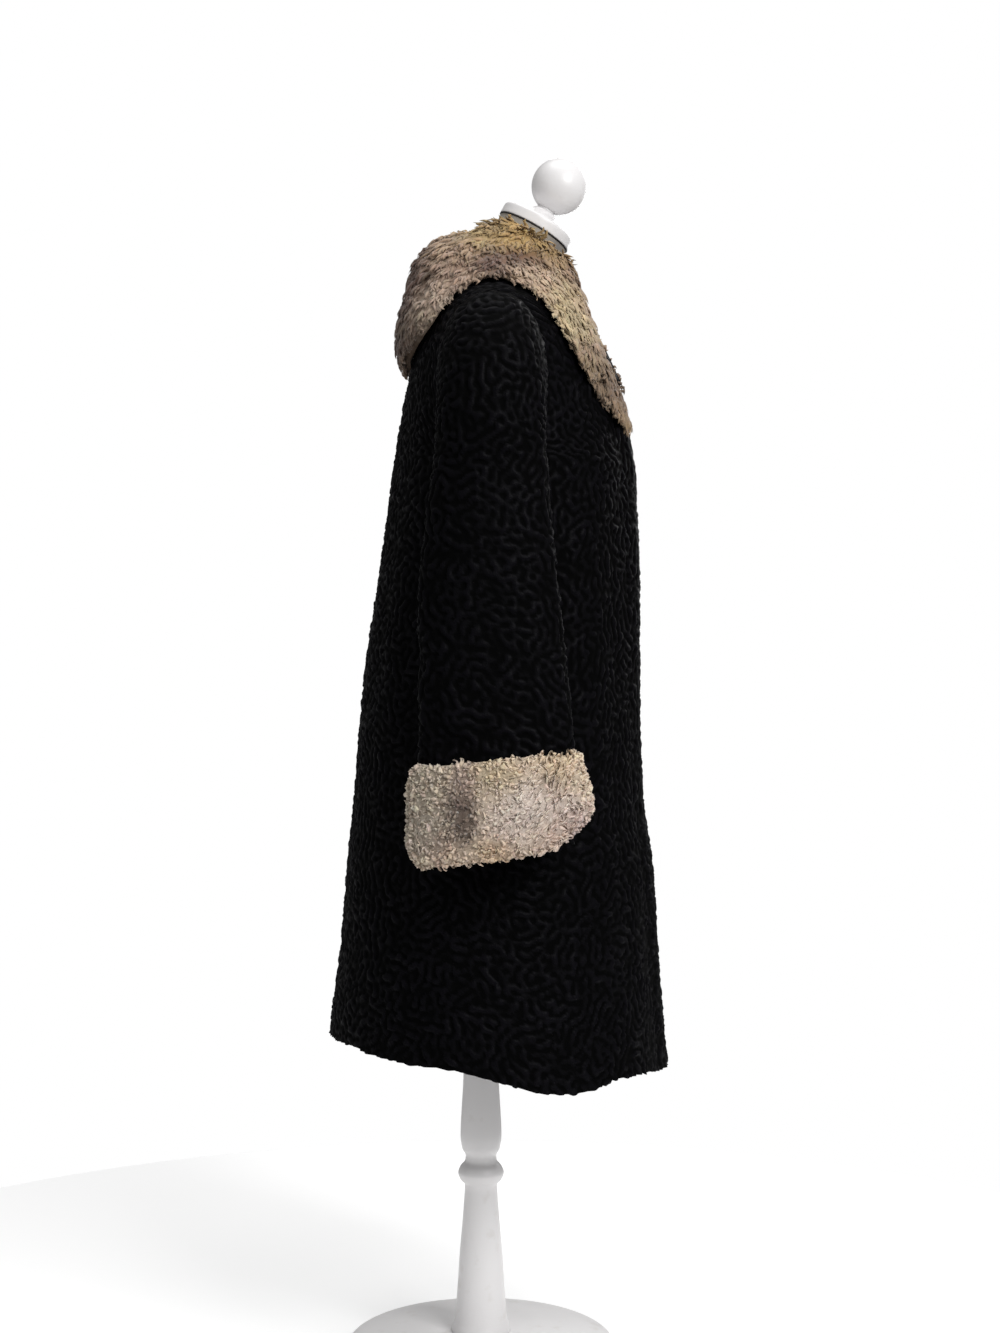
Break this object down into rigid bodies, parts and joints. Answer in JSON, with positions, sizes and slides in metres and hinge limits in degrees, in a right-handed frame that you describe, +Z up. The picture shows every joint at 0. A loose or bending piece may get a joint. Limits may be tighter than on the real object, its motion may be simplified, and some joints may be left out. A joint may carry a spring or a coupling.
{
  "type": "persian lamb coat on a dress form",
  "caption": "Straight black curly lamb coat with a pale fur shawl collar and pale fur cuffs, hanging on a limbless dress form with a turned post and a round foot.",
  "frame": {"origin": "centre of the foot's flat underside", "axes": "+Z up, the wearer faces -Y, the wearer's left is +X"},
  "size_m": [0.689, 0.4262, 1.5147],
  "materials": {
    "black_lamb": "glossy black curled lamb in winding ridges",
    "pale_fur": "shaggy cream, tan and grey-brown curled fur",
    "form_cover": "matt cream jersey",
    "black_trim": "narrow black band",
    "white_paint": "turned wood, satin white paint"
  },
  "bodies": {
    "root": {"coat_back": "black_lamb", "coat_front_left": "black_lamb", "coat_front_right": "black_lamb", "sleeve_left_upper": "black_lamb", "sleeve_left_under": "black_lamb", "sleeve_right_upper": "black_lamb", "sleeve_right_under": "black_lamb", "fur_collar": "pale_fur", "fur_cuff_left": "pale_fur", "fur_cuff_right": "pale_fur", "form_torso": "form_cover", "cap_trim": "black_trim", "neck_cap": "white_paint", "finial": "white_paint", "post": "white_paint", "base": "white_paint"}
  },
  "joints": []
}
